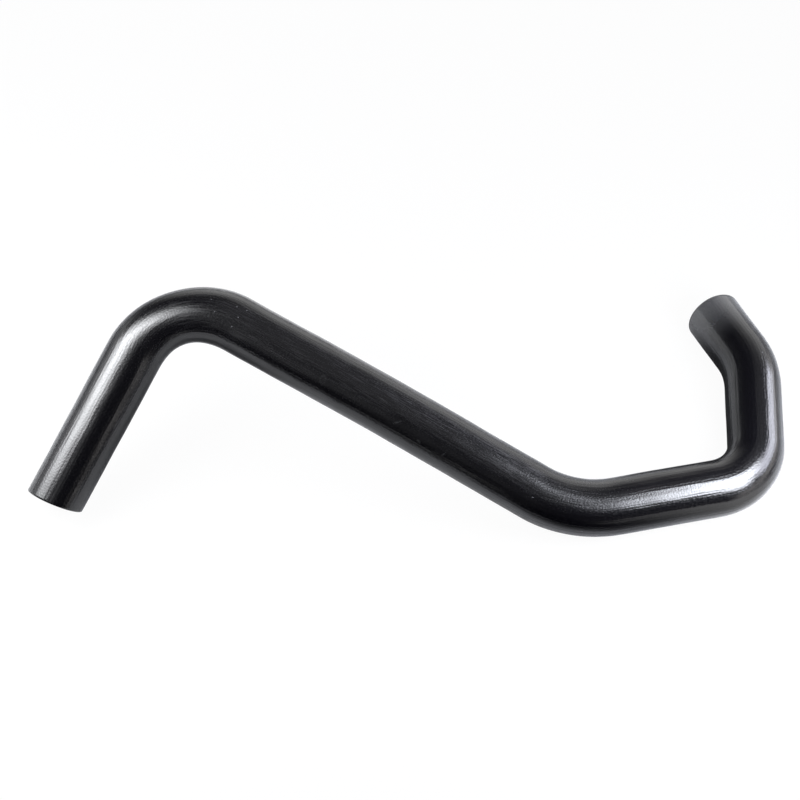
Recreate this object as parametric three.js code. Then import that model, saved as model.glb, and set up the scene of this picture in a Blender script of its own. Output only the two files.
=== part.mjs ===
// A moulded rubber coolant hose for the bottom of a car radiator, drawn as it lies at rest.
// Millimetres, +Z up. It touches the surface at its inlet rim, along its level leg and at its
// outlet rim. The origin is on that surface, below the middle of the hose's outline.

import * as THREE from "three";
import { toCreasedNormals } from "three/addons/utils/BufferGeometryUtils.js";

// Section
const boreDiameter = 36;
const wallThickness = 5;
const boreRadius = boreDiameter / 2;
const outerRadius = boreRadius + wallThickness;

// Legs, measured along the centreline between the corners where straight legs would meet
const inletLegLength = 192;
const longLegLength = 363;
const levelLegLength = 151.5;
const returnLegLength = 108;
const outletLegLength = 67;

// Direction of each leg seen from above, in degrees from +X, walked from the inlet to the outlet
const inletHeading = 52.8;
const longHeading = -23.7;
const levelHeading = 12;
const returnHeading = 88.6;
const outletHeading = 114.1;

// Heights
const topCornerHeight = 134.6;
const returnLegRise = 8.4;

// Bends, as radii of the centreline
const topBendRadius = 60;
const sweepBendRadius = 98;
const cornerBendRadius = 42.5;
const outletBendRadius = 78;

// What curing on a curved mandrel and cutting by hand leave behind
const longLegBow = 3.8;
const bowRadius = 3000;
const topBendFlattening = 0.06;
const inletCutSkew = 6;

// Fineness of the facets
const sectionSides = 36;
const degreesPerFacet = 7.5;
const longestStraightStep = 45;
const sharpestSmoothEdge = 30;

const radians = THREE.MathUtils.degToRad;
const vector = (x, y, z) => new THREE.Vector3(x, y, z);
const up = vector(0, 0, 1);

function directionOf(heading, slope) {
  const turn = radians(heading);
  return vector(Math.cos(turn) * Math.cos(slope), Math.sin(turn) * Math.cos(slope), Math.sin(slope));
}

// The angle at which a straight leg runs down from a corner so that its square-cut rim just
// touches the surface: length * sin(angle) + outerRadius * cos(angle) is the corner's height.
function fallToRest(length, cornerHeight) {
  return Math.asin(cornerHeight / Math.hypot(length, outerRadius)) - Math.atan2(outerRadius, length);
}

// The corners of the centreline from the inlet to the outlet. The level leg lies on the surface,
// so the corners at its two ends are one outer radius above it.
function routeCorners() {
  const inletSlope = fallToRest(inletLegLength, topCornerHeight);
  const longSlope = -Math.asin((topCornerHeight - outerRadius) / longLegLength);
  const returnSlope = Math.asin(returnLegRise / returnLegLength);
  const outletSlope = -fallToRest(outletLegLength, outerRadius + returnLegRise);
  const step = (from, heading, slope, length) =>
    from.clone().addScaledVector(directionOf(heading, slope), length);

  const inlet = vector(0, 0, outerRadius * Math.cos(inletSlope));
  const top = step(inlet, inletHeading, inletSlope, inletLegLength);
  const sweep = step(top, longHeading, longSlope, longLegLength);
  const bow = top.clone().lerp(sweep, 0.5).addScaledVector(up, longLegBow);
  const corner = step(sweep, levelHeading, 0, levelLegLength);
  const turn = step(corner, returnHeading, returnSlope, returnLegLength);
  const outlet = step(turn, outletHeading, outletSlope, outletLegLength);

  return [
    { at: inlet },
    { at: top, radius: topBendRadius, flattening: topBendFlattening },
    { at: bow, radius: bowRadius, flattening: 0 },
    { at: sweep, radius: sweepBendRadius, flattening: 0 },
    { at: corner, radius: cornerBendRadius, flattening: 0 },
    { at: turn, radius: outletBendRadius, flattening: 0 },
    { at: outlet },
  ];
}

// The arc that rounds one corner: where it starts and ends, and how far it turns.
function bendAt(before, corner, after) {
  const incoming = corner.at.clone().sub(before.at).normalize();
  const outgoing = after.at.clone().sub(corner.at).normalize();
  const turn = incoming.angleTo(outgoing);
  const setback = corner.radius * Math.tan(turn / 2);
  const inward = outgoing.clone().addScaledVector(incoming, -incoming.dot(outgoing)).normalize();
  const start = corner.at.clone().addScaledVector(incoming, -setback);
  const end = corner.at.clone().addScaledVector(outgoing, setback);
  return { ...corner, start, end, incoming, inward, turn };
}

// A station is one cross-section of the hose: its place and direction on the centreline, the
// direction to the inside of the bend, and how far the section is drawn flat there.
function straightStation(at, along, inward = vector(0, 0, 0)) {
  return { at, along, inward, flattening: 0 };
}

// Stations inside one straight run, leaving out its two ends.
function straightStations(start, end) {
  const span = end.clone().sub(start);
  const count = Math.ceil(span.length() / longestStraightStep);
  const along = span.clone().normalize();
  const stations = [];
  for (let i = 1; i < count; i++) {
    stations.push(straightStation(start.clone().addScaledVector(span, i / count), along));
  }
  return stations;
}

// Stations round one bend. The section is flattest half-way round.
function bendStations(bend) {
  const count = Math.max(2, Math.ceil(THREE.MathUtils.radToDeg(bend.turn) / degreesPerFacet));
  const stations = [];
  for (let i = 0; i <= count; i++) {
    const angle = (bend.turn * i) / count;
    const [cos, sin] = [Math.cos(angle), Math.sin(angle)];
    const at = bend.start.clone();
    at.addScaledVector(bend.incoming, bend.radius * sin);
    at.addScaledVector(bend.inward, bend.radius * (1 - cos));
    const along = bend.incoming.clone().multiplyScalar(cos).addScaledVector(bend.inward, sin);
    const inward = bend.inward.clone().multiplyScalar(cos).addScaledVector(bend.incoming, -sin);
    const flattening = bend.flattening * Math.sin((Math.PI * i) / count) ** 2;
    stations.push({ at, along, inward, flattening });
  }
  return stations;
}

// Every station of the hose, from the inlet's cut face to the outlet's.
function hoseStations(corners) {
  const bends = corners.slice(1, -1).map((corner, i) => bendAt(corners[i], corner, corners[i + 2]));
  const inlet = corners[0].at;
  const outlet = corners.at(-1).at;
  const inletStation = straightStation(inlet, bends[0].incoming, bends[0].inward);
  const stations = [{ ...inletStation, skew: radians(inletCutSkew) }];
  let reached = inlet;
  for (const bend of bends) {
    stations.push(...straightStations(reached, bend.start), ...bendStations(bend));
    reached = bend.end;
  }
  const outletDirection = outlet.clone().sub(reached).normalize();
  stations.push(...straightStations(reached, outlet), straightStation(outlet, outletDirection));
  return stations;
}

// The radius of the outside or the bore in one direction of a section. A bend is drawn flat in
// its own plane.
function radiusToward(direction, station, radius) {
  return radius * (1 - station.flattening * direction.dot(station.inward) ** 2);
}

// How far a skewed cut moves one point of the end face along the hose. The cut pivots on the
// rim's lowest point, which stays on the surface.
function cutOffset(direction, lowest, station, radius) {
  if (!station.skew) return 0;
  const facing = direction.dot(station.inward) * radius - lowest.dot(station.inward) * outerRadius;
  return Math.tan(station.skew) * facing;
}

// The corners of one section's outside or bore. One of them points straight down the wall, so
// that the facets of the outside rest on the surface.
function sectionRing(station, radius) {
  const side = station.along.clone().cross(up).normalize();
  const over = side.clone().cross(station.along);
  const lowest = over.clone().negate();
  const ring = [];
  for (let i = 0; i < sectionSides; i++) {
    const angle = (2 * Math.PI * i) / sectionSides;
    const direction = side.clone().multiplyScalar(Math.cos(angle)).addScaledVector(over, Math.sin(angle));
    const reach = radiusToward(direction, station, radius);
    const point = station.at.clone().addScaledVector(direction, reach);
    ring.push(point.addScaledVector(station.along, cutOffset(direction, lowest, station, radius)));
  }
  return ring;
}

// The wall lofted through the stations, with the bore open from end to end and a flat cut face
// between the outside and the bore at each end.
function hoseGeometry(stations) {
  const points = [];
  for (const station of stations) {
    points.push(...sectionRing(station, outerRadius), ...sectionRing(station, boreRadius));
  }
  const outside = (station, i) => 2 * station * sectionSides + (i % sectionSides);
  const bore = (station, i) => outside(station, i) + sectionSides;
  const faces = [];
  const addQuad = (a, b, c, d) => faces.push(a, b, c, a, c, d);
  const last = stations.length - 1;
  for (let i = 0; i < sectionSides; i++) {
    for (let s = 0; s < last; s++) {
      addQuad(outside(s, i), outside(s + 1, i), outside(s + 1, i + 1), outside(s, i + 1));
      addQuad(bore(s, i), bore(s, i + 1), bore(s + 1, i + 1), bore(s + 1, i));
    }
    addQuad(outside(0, i), outside(0, i + 1), bore(0, i + 1), bore(0, i));
    addQuad(outside(last, i), bore(last, i), bore(last, i + 1), outside(last, i + 1));
  }
  const geometry = new THREE.BufferGeometry().setFromPoints(points);
  geometry.setIndex(faces);
  return geometry;
}

// Stand the hose on the surface, centred on the origin.
function centreOnSurface(geometry) {
  geometry.computeBoundingBox();
  const { min, max } = geometry.boundingBox;
  geometry.translate(-(min.x + max.x) / 2, -(min.y + max.y) / 2, -min.z);
  return geometry;
}

function buildHose() {
  const geometry = centreOnSurface(hoseGeometry(hoseStations(routeCorners())));
  const rubber = new THREE.MeshStandardMaterial({ color: 0x17181a, roughness: 0.42, metalness: 0 });
  const hose = new THREE.Mesh(toCreasedNormals(geometry, radians(sharpestSmoothEdge)), rubber);
  hose.name = "hose";
  return hose;
}

const coolantHose = new THREE.Group();
coolantHose.add(buildHose());

export default coolantHose;
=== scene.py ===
# A moulded rubber coolant hose lying on a pale studio floor. Metres, +Z up.
import bpy
import math
import numpy as np
from mathutils import Matrix, Vector
from typing import NamedTuple


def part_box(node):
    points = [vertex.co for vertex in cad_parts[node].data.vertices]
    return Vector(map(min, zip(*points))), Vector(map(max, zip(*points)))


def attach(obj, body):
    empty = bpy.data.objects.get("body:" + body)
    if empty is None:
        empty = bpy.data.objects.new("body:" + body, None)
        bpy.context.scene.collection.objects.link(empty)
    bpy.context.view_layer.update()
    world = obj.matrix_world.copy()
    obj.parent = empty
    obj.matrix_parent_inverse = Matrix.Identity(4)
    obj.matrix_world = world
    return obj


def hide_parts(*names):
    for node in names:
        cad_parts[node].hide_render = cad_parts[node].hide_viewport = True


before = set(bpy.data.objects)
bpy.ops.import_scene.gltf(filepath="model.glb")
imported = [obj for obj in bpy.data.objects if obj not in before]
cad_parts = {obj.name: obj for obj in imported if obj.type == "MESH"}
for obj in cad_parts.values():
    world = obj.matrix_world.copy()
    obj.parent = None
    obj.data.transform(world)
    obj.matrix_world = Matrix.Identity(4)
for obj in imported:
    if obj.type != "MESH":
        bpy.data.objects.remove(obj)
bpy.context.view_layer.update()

MM = 0.001

# The hose's section and route, as its solid has them
BORE_RADIUS = 18 * MM
WALL = 5 * MM
OUTER_RADIUS = BORE_RADIUS + WALL
INLET_LEG = 192 * MM
LONG_LEG = 363 * MM
LEVEL_LEG = 151.5 * MM
RETURN_LEG = 108 * MM
OUTLET_LEG = 67 * MM
INLET_HEADING = 52.8
LONG_HEADING = -23.7
LEVEL_HEADING = 12
RETURN_HEADING = 88.6
OUTLET_HEADING = 114.1
TOP_CORNER_HEIGHT = 134.6 * MM
RETURN_LEG_RISE = 8.4 * MM
TOP_BEND_RADIUS = 60 * MM
SWEEP_BEND_RADIUS = 98 * MM
CORNER_BEND_RADIUS = 42.5 * MM
OUTLET_BEND_RADIUS = 78 * MM
LONG_LEG_BOW = 3.8 * MM
BOW_RADIUS = 3
TOP_BEND_FLATTENING = 0.06
INLET_CUT_SKEW = 6
SKEW_REACH = 40 * MM

# Fineness of the mesh
STATION_STEP = 1.6 * MM
OUTSIDE_SIDES = 120
BORE_STATION_STRIDE = 4

# The cut ends
OUTER_EDGE_ROUND = 0.5 * MM
BORE_EDGE_ROUND = 0.35 * MM
EDGE_STEPS = 3
EDGE_MARGIN = 1.2 * MM

# The camera, as the photograph was taken: looking down on the hose from the front
CAMERA_ELEVATION = 52.96
CAMERA_DISTANCE = 2.4425
CAMERA_LENS_MM = 134.0
CAMERA_SENSOR_MM = 36
CAMERA_TARGET = Vector((-7.1 * MM, 34.1 * MM, 0))

# Long low swells of the outside: height, length along the hose, lobes round it, phase
SWELLS = [
    (0.06 * MM, 210 * MM, 1, 0.4),
    (0.05 * MM, 96 * MM, 2, 1.9),
    (0.04 * MM, 61 * MM, -3, 4.1),
    (0.03 * MM, 33 * MM, 5, 2.6),
]


class Grain(NamedTuple):
    """A fine pattern on the surface: the size of its features along the hose and round it, how
    much finer detail it holds and how strong that is, and its height where it is relief."""

    along: float
    around: float
    detail: float = 3
    rough: float = 0.5
    height: float = 0


class Scuff(NamedTuple):
    """A rubbed oval on the outside: where it is, its half sizes along and across its own
    length, and the angle from the hose's direction to that length. A ring has a gloss middle."""

    run: float
    turn: float
    half_length: float
    half_width: float
    tilt: float
    ring: bool = False


# The outside's colours and roughness, and where along the hose and round it the rubber has lost
# its gloss. Each pair of runs or turns holds where a change begins and where it ends; the dull
# band climbs the hose's side from one turn to another.
BLACK_RUBBER = (0.0007, 0.00065, 0.0011, 1)
BLOOMED_RUBBER = (0.0030, 0.0029, 0.0036, 1)
CHALKY_RUBBER = (0.045, 0.045, 0.046, 1)
CHALK_RUN = (795 * MM, 850 * MM)
DULL_RUN_START = (90 * MM, 210 * MM)
DULL_RUN_END = (600 * MM, 480 * MM)
DULL_CLIMB_RUN = (200 * MM, 380 * MM)
DULL_CLIMB_TURN = (58, 92)
DULL_TURN_REACH = (60, 24)
DULL_ROUGHNESS = 0.34
GLOSS_ROUGHNESS = (0.17, 0.27)
RUBBER_IOR = 1.5

# The knit that shows faintly through: its pitch along the hose and round it, how many radians it
# wanders, how much weaker the yarns that run lengthwise are, and its height
KNIT_COURSE = 2.0 * MM
KNIT_WALE = 2.5 * MM
KNIT_WANDER = Grain(along=9 * MM, around=9 * MM)
KNIT_WANDER_REACH = 5
KNIT_WALE_SHARE = 0.6
KNIT_PATCHES = Grain(along=50 * MM, around=20 * MM)
KNIT_HEIGHT = 0.005 * MM

# The cut ends and the bore
CUT_COLOURS = ((0.012, 0.012, 0.0125, 1), (0.024, 0.024, 0.025, 1))
CUT_ROUGHNESS = 0.6
CUT_MARK_SIZE = 1.1 * MM
CUT_MARK_HEIGHT = 0.06 * MM
BORE_COLOURS = ((0.010, 0.010, 0.0105, 1), (0.018, 0.018, 0.019, 1))
BORE_ROUGHNESS = 0.45

# Pale specks on the outside, as (run, turn in degrees)
SPECKS = [
    (205 * MM, 86),
    (209 * MM, 62),
    (222 * MM, 88),
    (225 * MM, 48),
    (226 * MM, 70),
    (229 * MM, 92),
    (494 * MM, 46),
    (535 * MM, 358),
    (774 * MM, 68),
]
SPECK_RADIUS = 0.45 * MM
SPECK_COLOUR = (0.09, 0.09, 0.095, 1)

# The patterns of the outside and the bore
STREAKS = Grain(along=16 * MM, around=0.8 * MM, detail=4, rough=0.6)
DULL_PATCHES = Grain(along=40 * MM, around=6 * MM)
LONG_WAVES = Grain(along=60 * MM, around=9 * MM, detail=2, height=0.25 * MM)
LONG_LINES = Grain(along=120 * MM, around=2.0 * MM, detail=0, height=0.15 * MM)
SHORT_LINES = Grain(along=22 * MM, around=1.5 * MM, detail=1, height=0.06 * MM)
ORANGE_PEEL = Grain(along=1.6 * MM, around=1.2 * MM, detail=0, height=0.07 * MM)
BORE_DRAG = Grain(along=30 * MM, around=1.5 * MM, height=0.05 * MM)

# The noise values between which a pattern sets in, and where it never fades out altogether, the
# shares it goes from and to
PEEL_RANGE = (0.3, 0.7)
STREAK_RANGE = (0.42, 0.62)
SCUFF_BREAKS = (0.35, 0.65, 0.1, 1.0)
CHALK_BREAKS = (*PEEL_RANGE, 0.8, 1.0)
DULL_PATCH_RANGE = (0.35, 0.6, 0.3, 1.0)
KNIT_PATCH_RANGE = (0.42, 0.62, 0.0, 1.0)

# Scuffs, and how one fades out from its outline at 1 and a ring's hollow fills in
SCUFFS = (
    Scuff(run=307 * MM, turn=42, half_length=2.6 * MM, half_width=4.2 * MM, tilt=10, ring=True),
    Scuff(run=356 * MM, turn=66, half_length=5.5 * MM, half_width=0.8 * MM, tilt=-4),
    Scuff(run=375 * MM, turn=88, half_length=4.2 * MM, half_width=0.8 * MM, tilt=-5),
    Scuff(run=373 * MM, turn=40, half_length=4.8 * MM, half_width=0.9 * MM, tilt=48),
    Scuff(run=395 * MM, turn=28, half_length=2.5 * MM, half_width=1.2 * MM, tilt=0),
    Scuff(run=417 * MM, turn=32, half_length=2.8 * MM, half_width=0.8 * MM, tilt=70),
)
SCUFF_FADE = (1.3, 0.3)
RING_HOLLOW = (0.3, 0.9)
SCUFF_COLOUR = (0.007, 0.0072, 0.008, 1)
SCUFF_ROUGHNESS = 0.45

# The floor and the backdrop
FLOOR_SIZE = 8.0
STUDIO_WHITE = 0.95
FLOOR_GREY = 0.02
FLOOR_ROUGHNESS = 0.9


class Direction(NamedTuple):
    """A direction seen from the hose and the tilt of what stands there, in degrees. Azimuth 0 is
    +Y, and 90 is +X."""

    azimuth: float
    elevation: float
    roll: float


class Softbox(NamedTuple):
    """A rectangular light near the hose, facing the point it is aimed at, with a soft edge."""

    toward: Direction
    aim: tuple
    distance: float
    half_width: float
    half_height: float
    edge: float
    radiance: float
    colour: tuple


class Panel(NamedTuple):
    """A soft-edged rectangle of the far surroundings, sized in degrees."""

    toward: Direction
    half_width: float
    half_height: float
    edge: float
    radiance: float
    colour: tuple


class Spot(NamedTuple):
    """A soft-edged round spot on the floor, where shade or light is painted."""

    middle: tuple
    radius: float
    edge: float
    strength: float


LEFT_SOFTBOX = Softbox(
    toward=Direction(-100, 44, 17),
    aim=(-0.19, -0.01, 0.07),
    distance=0.50,
    half_width=0.067,
    half_height=0.193,
    edge=0.24,
    radiance=54,
    colour=(0.96, 0.975, 1.0),
)
RIGHT_SOFTBOX = Softbox(
    toward=Direction(131, 47.5, 44.5),
    aim=(0.22, -0.02, 0.03),
    distance=0.30,
    half_width=0.109,
    half_height=0.108,
    edge=0.05,
    radiance=36,
    colour=(0.89, 0.92, 1.0),
)

# The far surroundings, which only the hose's gloss shows
LEFT_WALL = Panel(Direction(-68, 3, 0), 26, 14, 9, 1.3, (0.96, 0.98, 1.0))
BACK_WALL = Panel(Direction(18, 0, 0), 36, 32, 24, 2.0, (1.0, 1.0, 0.99))
RIGHT_WALL = Panel(Direction(76, 28, 20), 23, 11.5, 6, 15, (0.86, 0.88, 1.0))
RIGHT_GLOW = Panel(Direction(96, 2, 0), 44, 12, 10, 3.0, (1.0, 0.97, 0.955))
OVERHEAD = Panel(Direction(100, 75, 0), 38, 15, 12, 0.35, (1.0, 1.0, 1.0))
FRONT_FILL = Panel(Direction(-148, 32, 0), 14, 20, 12, 0.6, (0.97, 0.98, 1.0))
PANELS = (LEFT_WALL, BACK_WALL, RIGHT_WALL, RIGHT_GLOW, OVERHEAD, FRONT_FILL)
DIM_SURROUNDINGS = 0.03

# The floor as the hose's gloss shows it: a sheet that ends in front of the hose, deep painted shade
# inside the hook at the outlet and below the top bend, and glowing patches of painted light further off
SHEET_TONE = 0.37
SHEET_FRONT = -0.168
SHEET_FRONT_SLANT = 0.28
SHEET_EDGE = 0.04
# Painted shade: spots that darken the sheet inside the hook and below the top bend
HOOK_SHADE = Spot(middle=(0.235, 0.025), radius=0.08, edge=0.035, strength=0.9)
BEND_SHADE = Spot(middle=(-0.19, -0.01), radius=0.065, edge=0.04, strength=0.6)
PAINTED_SHADES = (HOOK_SHADE, BEND_SHADE)
# Painted light: patches of the sheet that glow, though no lamp is there
RIGHT_PATCH = Spot(middle=(0.52, -0.38), radius=0.30, edge=0.09, strength=1.2)
FRONT_PATCH = Spot(middle=(-0.11, -0.36), radius=0.07, edge=0.05, strength=1.2)
BACK_PATCH = Spot(middle=(0, 0.45), radius=0.25, edge=0.15, strength=1.0)
CORNER_PATCH = Spot(middle=(0.34, -0.16), radius=0.10, edge=0.06, strength=1.4)
PAINTED_LIGHT_PATCHES = (RIGHT_PATCH, FRONT_PATCH, BACK_PATCH, CORNER_PATCH)

UP = np.array((0.0, 0.0, 1.0))


def unit(v):
    return v / np.linalg.norm(v)


# Route


def direction_of(heading, slope):
    turn = math.radians(heading)
    level = math.cos(slope)
    return np.array((math.cos(turn) * level, math.sin(turn) * level, math.sin(slope)))


def fall_to_rest(length, corner_height):
    """The slope of a straight leg that runs down from a corner until its cut rim meets the floor."""
    return math.asin(corner_height / math.hypot(length, OUTER_RADIUS)) - math.atan2(OUTER_RADIUS, length)


def route_corners():
    """The centreline's corners as (place, bend radius, flattening), inlet first."""
    inlet_slope = fall_to_rest(INLET_LEG, TOP_CORNER_HEIGHT)
    long_slope = -math.asin((TOP_CORNER_HEIGHT - OUTER_RADIUS) / LONG_LEG)
    return_slope = math.asin(RETURN_LEG_RISE / RETURN_LEG)
    outlet_slope = -fall_to_rest(OUTLET_LEG, OUTER_RADIUS + RETURN_LEG_RISE)
    inlet = np.array((0.0, 0.0, OUTER_RADIUS * math.cos(inlet_slope)))
    top = inlet + INLET_LEG * direction_of(INLET_HEADING, inlet_slope)
    sweep = top + LONG_LEG * direction_of(LONG_HEADING, long_slope)
    bow = (top + sweep) / 2 + LONG_LEG_BOW * UP
    corner = sweep + LEVEL_LEG * direction_of(LEVEL_HEADING, 0)
    turn = corner + RETURN_LEG * direction_of(RETURN_HEADING, return_slope)
    outlet = turn + OUTLET_LEG * direction_of(OUTLET_HEADING, outlet_slope)
    return [
        (inlet, 0, 0),
        (top, TOP_BEND_RADIUS, TOP_BEND_FLATTENING),
        (bow, BOW_RADIUS, 0),
        (sweep, SWEEP_BEND_RADIUS, 0),
        (corner, CORNER_BEND_RADIUS, 0),
        (turn, OUTLET_BEND_RADIUS, 0),
        (outlet, 0, 0),
    ]


class Stations:
    """Cross-sections along the hose: places, directions, the way to the inside of the bend,
    and how far the section is drawn flat. Lists until stack() makes them arrays."""

    def __init__(self):
        self.at = []
        self.along = []
        self.inward = []
        self.flattening = []

    def add(self, at, along, inward, flattening=0.0):
        self.at.append(at)
        self.along.append(along)
        self.inward.append(inward)
        self.flattening.append(flattening)

    def stack(self):
        for name in ("at", "along", "inward", "flattening"):
            setattr(self, name, np.array(getattr(self, name)))
        steps = np.linalg.norm(np.diff(self.at, axis=0), axis=1)
        self.run = np.concatenate(((0,), np.cumsum(steps)))
        return self


def add_straight(stations, start, end, inward):
    span = end - start
    length = np.linalg.norm(span)
    count = max(1, round(length / STATION_STEP))
    for i in range(count):
        stations.add(start + span * i / count, span / length, inward)


def add_bend(stations, start, incoming, inward, turn, radius, flattening):
    count = max(2, round(turn * radius / STATION_STEP))
    for i in range(count):
        angle = turn * i / count
        sin, cos = math.sin(angle), math.cos(angle)
        at = start + radius * (sin * incoming + (1 - cos) * inward)
        share = math.sin(math.pi * i / count) ** 2
        along = cos * incoming + sin * inward
        stations.add(at, along, cos * inward - sin * incoming, flattening * share)


def hose_stations():
    corners = route_corners()
    stations = Stations()
    reached = corners[0][0]
    for before, corner, after in zip(corners, corners[1:], corners[2:]):
        place, radius, flattening = corner
        incoming = unit(place - before[0])
        outgoing = unit(after[0] - place)
        turn = math.acos(incoming @ outgoing)
        inward = unit(outgoing - (incoming @ outgoing) * incoming)
        setback = radius * math.tan(turn / 2)
        start = place - setback * incoming
        add_straight(stations, reached, start, inward)
        add_bend(stations, start, incoming, inward, turn, radius, flattening)
        reached = place + setback * outgoing
    outlet = corners[-1][0]
    add_straight(stations, reached, outlet, inward)
    stations.add(outlet, unit(outlet - reached), inward)
    return stations.stack()


# Section


def ring_directions(stations, sides):
    """Unit directions round every section, [station, side, xyz]. The first points sideways."""
    sideways = np.cross(stations.along, UP)
    sideways /= np.linalg.norm(sideways, axis=1)[:, None]
    over = np.cross(sideways, stations.along)
    angle = np.linspace(0, 2 * math.pi, sides, endpoint=False)
    across = np.cos(angle)[None, :, None] * sideways[:, None]
    return across + np.sin(angle)[None, :, None] * over[:, None]


def section_radius(stations, directions, radius):
    """The radius in each direction, drawn flat in the plane of a bend."""
    facing = (directions * stations.inward[:, None]).sum(axis=2)
    return radius * (1 - stations.flattening[:, None] * facing**2)


def cut_offset(stations, directions, radius):
    """How far the inlet's skewed cut moves each point of its rim along the hose."""
    lowest = -unit(UP - (stations.along[0] @ UP) * stations.along[0])
    facing = directions[0] @ stations.inward[0] * radius - lowest @ stations.inward[0] * OUTER_RADIUS
    return math.tan(math.radians(INLET_CUT_SKEW)) * facing


def skew_inlet(points, stations, directions, radius):
    """Spreads the skew of the inlet's cut over the first part of the inlet leg."""
    offset = cut_offset(stations, directions, radius)
    fade = np.clip(1 - stations.run / SKEW_REACH, 0, 1)
    points += (fade[:, None] * offset[None, :])[:, :, None] * stations.along[:, None]


def section_points(stations, radius, relief=None):
    directions = ring_directions(stations, OUTSIDE_SIDES)
    reach = section_radius(stations, directions, radius)
    if relief is not None:
        reach = reach + relief
    points = stations.at[:, None] + reach[:, :, None] * directions
    skew_inlet(points, stations, directions, radius)
    return points


def route_shift(stations):
    """The shift that stands the modelled route in the solid's own box."""
    points = section_points(stations, OUTER_RADIUS).reshape(-1, 3)
    low, high = (np.array(corner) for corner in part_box("hose"))
    middle = (points.min(axis=0) + points.max(axis=0)) / 2
    shift = (low + high) / 2 - middle
    shift[2] = low[2] - points[:, 2].min()
    return shift


# Mesh


class HoseMesh:
    """Collects rings of points, the faces between them, and each point's run and turn."""

    def __init__(self):
        self.points = []
        self.runs = []
        self.faces = []
        self.materials = []
        self.count = 0

    def ring(self, points, run):
        first = self.count
        self.points.append(points)
        self.runs.append(np.full(len(points), run))
        self.count += len(points)
        return first

    def join(self, first, second, sides, material):
        i = np.arange(sides)
        j = (i + 1) % sides
        self.faces.append(np.stack((first + i, second + i, second + j, first + j), axis=1))
        self.materials.append(np.full(sides, material))


OUTSIDE, CUT_END, BORE = range(3)


def outside_relief(stations):
    """The small unevenness of the cured outside: long low swells, all of them inward."""
    angle = np.linspace(0, 2 * math.pi, OUTSIDE_SIDES, endpoint=False)[None, :]
    run = stations.run[:, None]
    relief = np.zeros((len(stations.run), OUTSIDE_SIDES))
    for height, length, lobes, phase in SWELLS:
        relief += height * (np.sin(2 * math.pi * run / length + lobes * angle + phase) - 1)
    return relief


def end_profile(round_outer, round_bore):
    """Rings from the outside surface over the rounded rim, across the cut face and into the
    bore, each as (share of the way to the bore, distance back from the cut)."""
    rings = []
    for k in range(1, EDGE_STEPS + 1):
        angle = math.pi / 2 * k / EDGE_STEPS
        rings.append((round_outer * (1 - math.cos(angle)), round_outer * (1 - math.sin(angle))))
    rings.append((WALL / 2, 0))
    for k in range(EDGE_STEPS, 0, -1):
        angle = math.pi / 2 * k / EDGE_STEPS
        rings.append((WALL - round_bore * (1 - math.cos(angle)), round_bore * (1 - math.sin(angle))))
    return rings


def build_hose(stations):
    """One closed skin: the outside, a cut face at each end with rounded edges, and the bore."""
    outside = section_points(stations, OUTER_RADIUS, outside_relief(stations))
    bore = section_points(stations, BORE_RADIUS)
    mesh = HoseMesh()
    last = len(stations.run) - 1
    from_cut = np.minimum(stations.run, stations.run[last] - stations.run)
    skin_stations = [i for i in range(1, last) if from_cut[i] > EDGE_MARGIN]

    def end_rings(end, sign):
        firsts = []
        for inset, back in end_profile(OUTER_EDGE_ROUND, BORE_EDGE_ROUND):
            points = outside[end] + (bore[end] - outside[end]) * inset / WALL
            points = points + sign * back * stations.along[end]
            firsts.append(mesh.ring(points, stations.run[end] + sign * back))
        return firsts

    inlet = end_rings(0, 1)
    outlet = end_rings(last, -1)
    skin = [mesh.ring(outside[i], stations.run[i]) for i in skin_stations]
    inner_stations = skin_stations[::BORE_STATION_STRIDE]
    inner = [mesh.ring(bore[i], stations.run[i]) for i in inner_stations]
    chain = [(first, CUT_END) for first in reversed(inlet)]
    chain += [(first, OUTSIDE) for first in skin]
    chain += [(first, CUT_END) for first in outlet]
    chain += [(first, BORE) for first in reversed(inner)]
    for (first, _), (second, material) in zip(chain, chain[1:] + chain[:1]):
        mesh.join(first, second, OUTSIDE_SIDES, material)
    return mesh


def mesh_object(name, mesh, shift, materials):
    data = bpy.data.meshes.new(name)
    points = np.concatenate(mesh.points) + shift
    faces = np.concatenate(mesh.faces)
    data.from_pydata(points.tolist(), [], faces.tolist())
    data.polygons.foreach_set("material_index", np.concatenate(mesh.materials).astype(np.int32))
    data.polygons.foreach_set("use_smooth", np.ones(len(faces), bool))
    for material in materials:
        data.materials.append(material)
    data.update()
    piece = bpy.data.objects.new(name, data)
    bpy.context.scene.collection.objects.link(piece)
    return piece


def write_surface_map(piece, mesh):
    """A UV map in metres: u along the hose, v round its outside."""
    runs = np.concatenate(mesh.runs)
    sides = np.concatenate([np.arange(len(points)) for points in mesh.points])
    data = piece.data
    corner_points = np.zeros(len(data.loops), np.int32)
    data.loops.foreach_get("vertex_index", corner_points)
    side = sides[corner_points].reshape(-1, 4)
    wraps = side.max(axis=1) - side.min(axis=1) > OUTSIDE_SIDES / 2
    side = side + np.where(wraps[:, None] & (side == 0), OUTSIDE_SIDES, 0)
    around = side.ravel() / OUTSIDE_SIDES * 2 * math.pi * OUTER_RADIUS
    surface_map = data.uv_layers.new(name="run_and_turn")
    surface_map.data.foreach_set("uv", np.stack((runs[corner_points], around), axis=1).ravel())


# Materials


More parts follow.
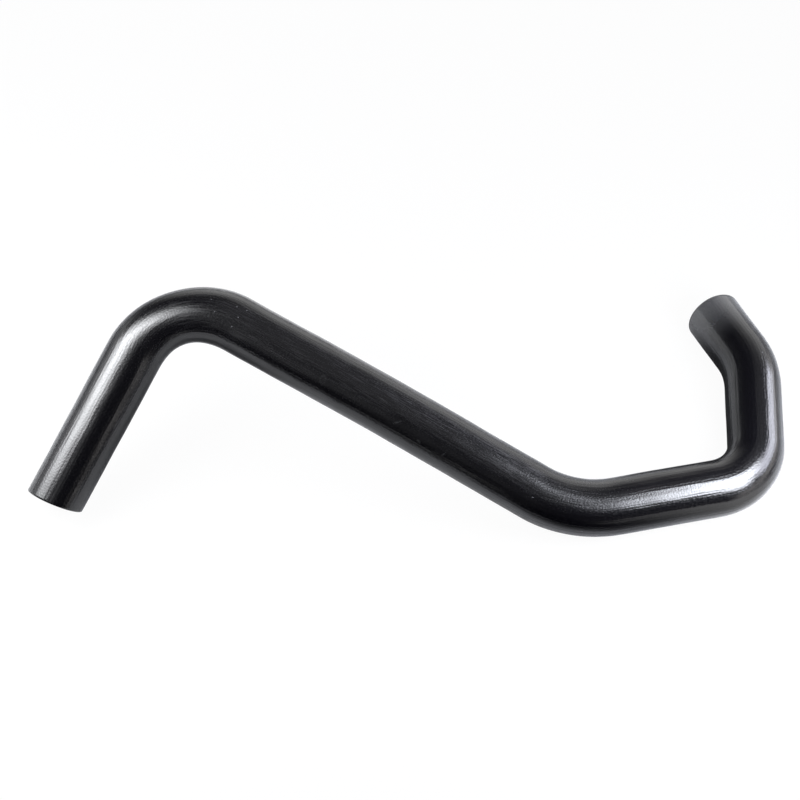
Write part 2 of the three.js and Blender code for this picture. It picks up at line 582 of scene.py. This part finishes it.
class Nodes:
    """Short calls that add and wire shader nodes in one tree."""

    def __init__(self, tree):
        self.tree = tree

    def add(self, kind, inputs=None, **settings):
        node = self.tree.nodes.new(kind)
        for key, value in settings.items():
            setattr(node, key, value)
        for key, value in (inputs or {}).items():
            self.feed(node.inputs[key], value)
        return node

    def feed(self, socket, value):
        if isinstance(value, bpy.types.NodeSocket):
            self.tree.links.new(value, socket)
        else:
            socket.default_value = value

    def math(self, operation, a, b=0.0):
        return self.add("ShaderNodeMath", {0: a, 1: b}, operation=operation).outputs[0]

    def square(self, value):
        return self.math("MULTIPLY", value, value)

    def surface(self, along_size, around_size):
        """The surface map, counted in lengths of along_size and around_size."""
        place = self.add("ShaderNodeUVMap", uv_map="run_and_turn").outputs[0]
        scale = (1 / along_size, 1 / around_size, 1)
        scaled = self.add("ShaderNodeVectorMath", {0: place, 1: scale}, operation="MULTIPLY")
        return scaled.outputs[0]

    def run(self):
        """The distance along the hose from the inlet."""
        return self.add("ShaderNodeSeparateXYZ", {0: self.surface(1, 1)}).outputs[0]

    def turn(self):
        """The angle round the hose in degrees, 90 on top."""
        around = self.surface(1, math.radians(OUTER_RADIUS))
        return self.add("ShaderNodeSeparateXYZ", {0: around}).outputs[1]

    def noise(self, place, detail, rough=0.5, scale=1.0):
        inputs = {"Vector": place, "Scale": scale, "Detail": detail, "Roughness": rough}
        return self.add("ShaderNodeTexNoise", inputs).outputs["Fac"]

    def grain(self, grain):
        place = self.surface(grain.along, grain.around)
        return self.noise(place, grain.detail, grain.rough)

    def span(self, value, low, high, to_low, to_high):
        inputs = {"Value": value, 1: low, 2: high, 3: to_low, 4: to_high}
        return self.add("ShaderNodeMapRange", inputs).outputs[0]

    def step(self, value, low, high):
        """Rises smoothly from 0 at low to 1 at high."""
        inputs = {"Value": value, 1: low, 2: high, 3: 0.0, 4: 1.0}
        return self.add("ShaderNodeMapRange", inputs, interpolation_type="SMOOTHSTEP").outputs[0]

    def dot(self, a, b):
        return self.add("ShaderNodeVectorMath", {0: a, 1: b}, operation="DOT_PRODUCT").outputs["Value"]

    def bump(self, height, distance, below=None):
        inputs = {"Height": height, "Distance": distance, "Strength": 1.0}
        if below is not None:
            inputs["Normal"] = below
        return self.add("ShaderNodeBump", inputs).outputs[0]

    def blend(self, share, a, b):
        node = self.add("ShaderNodeMix", data_type="FLOAT")
        self.feed(node.inputs[0], share)
        self.feed(node.inputs[2], a)
        self.feed(node.inputs[3], b)
        return node.outputs[0]

    def mix(self, share, a, b):
        node = self.add("ShaderNodeMix", data_type="RGBA")
        self.feed(node.inputs[0], share)
        self.feed(node.inputs[6], a)
        self.feed(node.inputs[7], b)
        return node.outputs[2]


class Surface(Nodes):
    """The nodes of a new material, round its main shader."""

    def __init__(self, name):
        self.material = bpy.data.materials.new(name)
        self.material.use_nodes = True
        super().__init__(self.material.node_tree)
        self.shader = self.tree.nodes["Principled BSDF"]


def satin_rubber():
    """The cured outside: glossy black with an orange-peel grain and fine lengthwise lines, rubbed
    dull in streaks along the long leg, scuffed and specked, and chalky near the outlet."""
    n = Surface("rubber_outside")
    streaks = n.grain(STREAKS)
    peel = n.grain(ORANGE_PEEL)
    n.feed(n.shader.inputs["Normal"], outside_normal(n, peel))
    scuffed = n.math("MULTIPLY", scuff_share(n), n.span(streaks, *SCUFF_BREAKS))
    chalk = n.math("MULTIPLY", n.step(n.run(), *CHALK_RUN), n.span(peel, *CHALK_BREAKS))
    dull = dull_share(n, streaks)
    colour = n.mix(dull, BLACK_RUBBER, BLOOMED_RUBBER)
    colour = n.mix(chalk, colour, CHALKY_RUBBER)
    colour = n.mix(scuffed, colour, SCUFF_COLOUR)
    n.feed(n.shader.inputs["Base Color"], n.mix(speck_share(n), colour, SPECK_COLOUR))
    gloss = n.span(peel, *PEEL_RANGE, *GLOSS_ROUGHNESS)
    roughness = n.blend(dull, gloss, DULL_ROUGHNESS)
    n.feed(n.shader.inputs["Roughness"], n.blend(scuffed, roughness, SCUFF_ROUGHNESS))
    n.shader.inputs["IOR"].default_value = RUBBER_IOR
    return n.material


def outside_normal(n, peel):
    """The outside's fine relief: long low waves, lengthwise lines, the knit and an orange peel."""
    normal = n.bump(n.grain(LONG_WAVES), LONG_WAVES.height)
    normal = n.bump(n.grain(LONG_LINES), LONG_LINES.height, normal)
    normal = n.bump(n.grain(SHORT_LINES), SHORT_LINES.height, normal)
    normal = n.bump(knit_height(n), KNIT_HEIGHT, normal)
    return n.bump(peel, ORANGE_PEEL.height, normal)


def surface_place(run, turn):
    """A place on the outside as the surface map has it."""
    return (run, math.radians(turn) * OUTER_RADIUS, 0)


def speck_share(n):
    """1 inside a pale speck."""
    share = 0.0
    for run, turn in SPECKS:
        inputs = {0: n.surface(1, 1), 1: surface_place(run, turn)}
        away = n.add("ShaderNodeVectorMath", inputs, operation="DISTANCE").outputs["Value"]
        share = n.math("ADD", share, n.step(away, SPECK_RADIUS, SPECK_RADIUS / 2))
    return share


def scuff_reach(n, scuff):
    """The distance from a scuff's middle, counted so that its outline lies at 1."""
    inputs = {0: n.surface(1, 1), 1: surface_place(scuff.run, scuff.turn)}
    offset = n.add("ShaderNodeVectorMath", inputs, operation="SUBTRACT").outputs[0]
    tilt = math.radians(scuff.tilt)
    along = Vector((math.cos(tilt), math.sin(tilt), 0)) / scuff.half_length
    across = Vector((-math.sin(tilt), math.cos(tilt), 0)) / scuff.half_width
    squares = n.math("ADD", n.square(n.dot(offset, along)), n.square(n.dot(offset, across)))
    return n.math("SQRT", squares)


def scuff_share(n):
    """1 in the middle of a scuff, fading out past its outline."""
    share = 0.0
    for scuff in SCUFFS:
        reach = scuff_reach(n, scuff)
        rubbed = n.step(reach, *SCUFF_FADE)
        if scuff.ring:
            rubbed = n.math("MULTIPLY", rubbed, n.step(reach, *RING_HOLLOW))
        share = n.math("ADD", share, rubbed)
    return share


def dull_share(n, streaks):
    """Streaks where handling has rubbed the gloss off, on the upper side of the long leg."""
    leg = n.math("MULTIPLY", n.step(n.run(), *DULL_RUN_START), n.step(n.run(), *DULL_RUN_END))
    middle = n.span(n.run(), *DULL_CLIMB_RUN, *DULL_CLIMB_TURN)
    aside = n.math("ABSOLUTE", n.math("SUBTRACT", n.turn(), middle))
    upper_side = n.step(aside, *DULL_TURN_REACH)
    patches = n.span(n.grain(DULL_PATCHES), *DULL_PATCH_RANGE)
    rubbed = n.math("MULTIPLY", n.step(streaks, *STREAK_RANGE), patches)
    return n.math("MULTIPLY", n.math("MULTIPLY", leg, upper_side), rubbed)


def knit_height(n):
    """The reinforcing knit showing faintly through: crossing yarns, strong in some patches and
    lost in others."""
    wander = n.math("MULTIPLY", n.grain(KNIT_WANDER), KNIT_WANDER_REACH)
    pitches = n.add("ShaderNodeSeparateXYZ", {0: n.surface(KNIT_COURSE, KNIT_WALE)})
    waves = []
    for pitch in pitches.outputs[:2]:
        phase = n.math("ADD", n.math("MULTIPLY", pitch, 2 * math.pi), wander)
        waves.append(n.math("SINE", phase))
    course, wale = waves
    yarns = n.math("ADD", course, n.math("MULTIPLY", wale, KNIT_WALE_SHARE))
    patches = n.span(n.grain(KNIT_PATCHES), *KNIT_PATCH_RANGE)
    return n.math("MULTIPLY", yarns, patches)


def cut_rubber():
    """The knife-cut ends: matt, with a fine grain."""
    n = Surface("rubber_cut_end")
    place = n.add("ShaderNodeTexCoord").outputs["Object"]
    marks = n.noise(place, detail=3, scale=1 / CUT_MARK_SIZE)
    n.feed(n.shader.inputs["Normal"], n.bump(marks, CUT_MARK_HEIGHT))
    n.feed(n.shader.inputs["Base Color"], n.mix(marks, *CUT_COLOURS))
    n.shader.inputs["Roughness"].default_value = CUT_ROUGHNESS
    return n.material


def bore_rubber():
    """The inside, as it left the mandrel: smoother and a little duller than the outside."""
    n = Surface("rubber_bore")
    drag = n.grain(BORE_DRAG)
    n.feed(n.shader.inputs["Normal"], n.bump(drag, BORE_DRAG.height))
    n.feed(n.shader.inputs["Base Color"], n.mix(drag, *BORE_COLOURS))
    n.shader.inputs["Roughness"].default_value = BORE_ROUGHNESS
    return n.material


# Studio


def spot_share(n, place, spot):
    """The spot's strength inside it, 0 well clear of it."""
    middle = (*spot.middle, 0)
    away = n.add("ShaderNodeVectorMath", {0: place, 1: middle}, operation="DISTANCE").outputs["Value"]
    inside = n.math("SUBTRACT", spot.radius, away)
    return n.math("MULTIPLY", n.step(inside, -spot.edge, spot.edge), spot.strength)


def mirrored_sheet(n):
    """The floor as the hose's gloss shows it: a sheet lit by the lights, darkened by spots of
    painted shade and brightened by glowing patches of painted light.
    """
    place = n.add("ShaderNodeTexCoord").outputs["Object"]
    split = n.add("ShaderNodeSeparateXYZ", {0: place})
    slanted = n.math("MULTIPLY", split.outputs[0], SHEET_FRONT_SLANT)
    behind_front = n.math("SUBTRACT", n.math("SUBTRACT", split.outputs[1], SHEET_FRONT), slanted)
    tone = n.math("MULTIPLY", n.step(behind_front, -SHEET_EDGE, SHEET_EDGE), SHEET_TONE)
    # Painted shade: each shade spot darkens the sheet's tone
    for shade in PAINTED_SHADES:
        tone = n.math("MULTIPLY", tone, n.math("SUBTRACT", 1.0, spot_share(n, place, shade)))
    lit = 0.0
    # Painted light: the lit patches glow on the sheet
    for patch in PAINTED_LIGHT_PATCHES:
        lit = n.math("ADD", lit, spot_share(n, place, patch))
    diffuse = n.add("ShaderNodeBsdfDiffuse", {"Color": tone}).outputs[0]
    painted_glow = n.add("ShaderNodeEmission", {"Strength": lit}).outputs[0]
    return n.add("ShaderNodeAddShader", {0: diffuse, 1: painted_glow}).outputs[0]


def add_floor():
    """A floor that the camera sees as plain white and the hose's gloss as a lit sheet with painted shade
    and painted light.
    """
    data = bpy.data.meshes.new("studio_floor")
    half = FLOOR_SIZE / 2
    corners = [(-half, -half, 0), (half, -half, 0), (half, half, 0), (-half, half, 0)]
    data.from_pydata(corners, [], [(0, 1, 2, 3)])
    n = Surface("pale_floor")
    n.shader.inputs["Base Color"].default_value = (FLOOR_GREY, FLOOR_GREY, FLOOR_GREY, 1)
    n.shader.inputs["Roughness"].default_value = FLOOR_ROUGHNESS
    n.shader.inputs["Specular IOR Level"].default_value = 0.0
    n.shader.inputs["Emission Color"].default_value = (1, 1, 1, 1)
    n.shader.inputs["Emission Strength"].default_value = STUDIO_WHITE
    seen = n.add("ShaderNodeLightPath").outputs["Is Camera Ray"]
    floor_shader = n.add("ShaderNodeMixShader", {0: seen, 1: mirrored_sheet(n), 2: n.shader.outputs[0]})
    n.feed(n.tree.nodes["Material Output"].inputs["Surface"], floor_shader.outputs[0])
    data.materials.append(n.material)
    floor = bpy.data.objects.new("studio_floor", data)
    bpy.context.scene.collection.objects.link(floor)


def facing_axes(direction):
    """Unit vectors towards what stands in a direction, across it and up it."""
    azimuth, elevation, roll = (math.radians(angle) for angle in direction)
    level = math.cos(elevation)
    toward = Vector((math.sin(azimuth) * level, math.cos(azimuth) * level, math.sin(elevation)))
    across = Vector((math.cos(azimuth), -math.sin(azimuth), 0))
    over = across.cross(toward)
    rolled = math.cos(roll) * across + math.sin(roll) * over
    return toward, rolled, math.cos(roll) * over - math.sin(roll) * across


def panel_share(n, direction, panel):
    """1 where a direction meets a panel, 0 well clear of it."""
    toward, across, over = facing_axes(panel.toward)
    ahead = n.dot(direction, toward)
    edge = math.radians(panel.edge)
    shares = []
    for axis, half in ((across, panel.half_width), (over, panel.half_height)):
        aside = n.math("ABSOLUTE", n.math("ARCTAN2", n.dot(direction, axis), ahead))
        shares.append(n.step(n.math("SUBTRACT", math.radians(half), aside), -edge, edge))
    return n.math("MULTIPLY", *shares)


def add_world():
    """The dim far surroundings and the paler panels in them, plain white to the camera."""
    world = bpy.data.worlds.new("studio")
    world.use_nodes = True
    n = Nodes(world.node_tree)
    n.tree.nodes.clear()
    direction = n.add("ShaderNodeTexCoord").outputs["Generated"]
    shader = n.add("ShaderNodeBackground", {"Strength": DIM_SURROUNDINGS}).outputs[0]
    for panel in PANELS:
        strength = n.math("MULTIPLY", panel_share(n, direction, panel), panel.radiance)
        lit = n.add("ShaderNodeBackground", {"Color": (*panel.colour, 1), "Strength": strength})
        shader = n.add("ShaderNodeAddShader", {0: shader, 1: lit.outputs[0]}).outputs[0]
    seen = n.add("ShaderNodeLightPath").outputs["Is Camera Ray"]
    plain = {"Color": (1, 1, 1, 1), "Strength": STUDIO_WHITE}
    backdrop = n.add("ShaderNodeBackground", plain).outputs[0]
    shown = n.add("ShaderNodeMixShader", {0: seen, 1: shader, 2: backdrop}).outputs[0]
    n.add("ShaderNodeOutputWorld", {"Surface": shown})
    bpy.context.scene.world = world


def soften_edges(data, softbox):
    """Fades a light out over its outer border."""
    data.use_nodes = True
    n = Nodes(data.node_tree)
    place = n.add("ShaderNodeNewGeometry").outputs["Parametric"]
    split = n.add("ShaderNodeSeparateXYZ", {0: place})
    shares = []
    for axis, half, size in ((0, softbox.half_width, data.size), (1, softbox.half_height, data.size_y)):
        from_middle = n.math("ABSOLUTE", n.math("SUBTRACT", split.outputs[axis], 0.5))
        inside = n.math("SUBTRACT", half, n.math("MULTIPLY", from_middle, size))
        shares.append(n.step(inside, -softbox.edge, softbox.edge))
    n.feed(n.tree.nodes["Emission"].inputs["Strength"], n.math("MULTIPLY", *shares))


def add_softbox(name, softbox):
    data = bpy.data.lights.new(name, "AREA")
    data.shape = "RECTANGLE"
    data.size = 2 * (softbox.half_width + softbox.edge)
    data.size_y = 2 * (softbox.half_height + softbox.edge)
    data.energy = softbox.radiance * math.pi * data.size * data.size_y
    data.color = softbox.colour
    soften_edges(data, softbox)
    light = bpy.data.objects.new(name, data)
    toward, across, over = facing_axes(softbox.toward)
    place = Vector(softbox.aim) + toward * softbox.distance
    turned = Matrix((-across, over, toward)).transposed()
    light.matrix_world = Matrix.LocRotScale(place, turned, None)
    bpy.context.scene.collection.objects.link(light)


def add_lights():
    add_softbox("left_softbox", LEFT_SOFTBOX)
    add_softbox("right_softbox", RIGHT_SOFTBOX)


def add_camera():
    data = bpy.data.cameras.new("camera")
    data.lens = CAMERA_LENS_MM
    data.sensor_width = CAMERA_SENSOR_MM
    camera = bpy.data.objects.new("camera", data)
    elevation = math.radians(CAMERA_ELEVATION)
    back = Vector((0, -math.cos(elevation), math.sin(elevation)))
    camera.location = CAMERA_TARGET + back * CAMERA_DISTANCE
    camera.rotation_euler = (math.pi / 2 - elevation, 0, 0)
    bpy.context.scene.collection.objects.link(camera)
    bpy.context.scene.camera = camera


def add_hose():
    stations = hose_stations()
    mesh = build_hose(stations)
    materials = [satin_rubber(), cut_rubber(), bore_rubber()]
    hose = mesh_object("coolant_hose", mesh, route_shift(stations), materials)
    write_surface_map(hose, mesh)
    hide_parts("hose")
    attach(hose, "root")
    return hose


bpy.context.scene.view_settings.view_transform = "Standard"
add_camera()
add_hose()
add_floor()
add_world()
add_lights()
